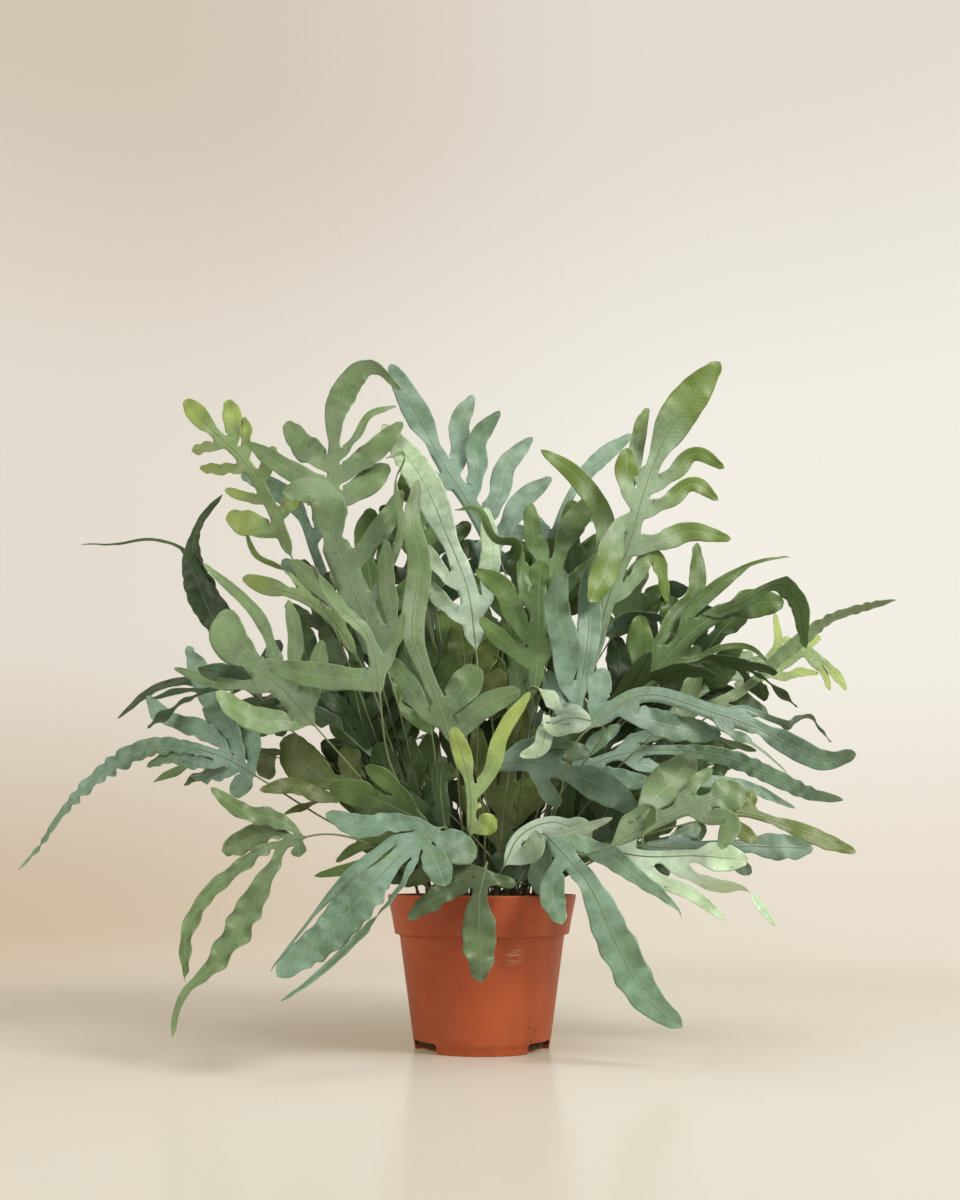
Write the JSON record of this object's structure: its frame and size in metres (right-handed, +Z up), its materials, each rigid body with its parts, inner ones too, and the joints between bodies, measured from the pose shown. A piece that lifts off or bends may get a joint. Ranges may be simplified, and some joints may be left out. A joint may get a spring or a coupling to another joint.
{
  "type": "potted fern",
  "caption": "Free-standing blue star fern with wavy, deeply lobed blue-green fronds on wiry stalks, in a terracotta-coloured plastic nursery pot.",
  "frame": {"origin": "middle of the pot's flat underside, where it rests", "axes": "+Z up along the pot's axis, -Y towards the front of the plant, +X to its right"},
  "size_m": [0.9571, 0.6097, 0.7842],
  "materials": {
    "terracotta_plastic": "satin moulded plastic",
    "potting_soil": "loose dark crumbs",
    "frond_blue": "satin glaucous blue-green leaf",
    "frond_grey": "satin grey-green leaf",
    "frond_green": "satin mid-green leaf",
    "frond_lime": "satin young lime-green leaf",
    "frond_olive": "satin olive leaf",
    "frond_dark": "satin dark green leaf",
    "frond_silver": "matte silvery leaf"
  },
  "bodies": {
    "root": {"frond_back_01": "frond_green", "frond_back_02": "frond_blue", "frond_back_03": "frond_grey", "frond_back_04": "frond_green", "frond_back_05": "frond_blue", "frond_back_06": "frond_dark", "frond_back_07": "frond_blue", "frond_back_08": "frond_green", "frond_back_09": "frond_grey", "frond_back_10": "frond_dark", "frond_back_11": "frond_blue", "frond_back_12": "frond_green", "frond_back_13": "frond_grey", "frond_back_14": "frond_blue", "frond_back_15": "frond_dark", "frond_big_lower_left": "frond_blue", "frond_blue_band": "frond_blue", "frond_blue_top_centre": "frond_blue", "frond_blue_upper_right": "frond_blue", "frond_dark_back_left": "frond_blue", "frond_dark_centre": "frond_dark", "frond_dark_far_left": "frond_dark", "frond_front_fold": "frond_silver", "frond_front_grey": "frond_grey", "frond_front_lime": "frond_lime", "frond_front_tongue": "frond_blue", "frond_green_centre": "frond_green", "frond_green_upper": "frond_green", "frond_green_upright": "frond_green", "frond_grey_left_large": "frond_grey", "frond_grey_left_level": "frond_grey", "frond_grey_right_long": "frond_grey", "frond_grey_upper_left": "frond_grey", "frond_hanging_left": "frond_green", "frond_hanging_right": "frond_blue", "frond_lime_left": "frond_lime", "frond_lime_top_right": "frond_lime", "frond_long_left": "frond_blue", "frond_low_dark_left": "frond_dark", "frond_low_dark_right": "frond_dark", "frond_low_left_green": "frond_green", "frond_low_olive_middle": "frond_olive", "frond_olive_centre": "frond_olive", "frond_olive_left": "frond_olive", "frond_pale_fold": "frond_silver", "frond_right_back_wavy": "frond_blue", "frond_right_broad": "frond_grey", "frond_right_dark": "frond_dark", "frond_right_middle": "frond_green", "frond_right_olive": "frond_olive", "frond_right_pale_green": "frond_silver", "frond_right_small": "frond_grey", "frond_right_star": "frond_lime", "frond_right_wavy_lower": "frond_blue", "frond_right_wavy_upper": "frond_blue", "frond_silver_centre": "frond_silver", "frond_top_arch": "frond_green", "frond_top_left_lime": "frond_lime", "pot": "terracotta_plastic", "soil": "potting_soil"}
  },
  "joints": []
}
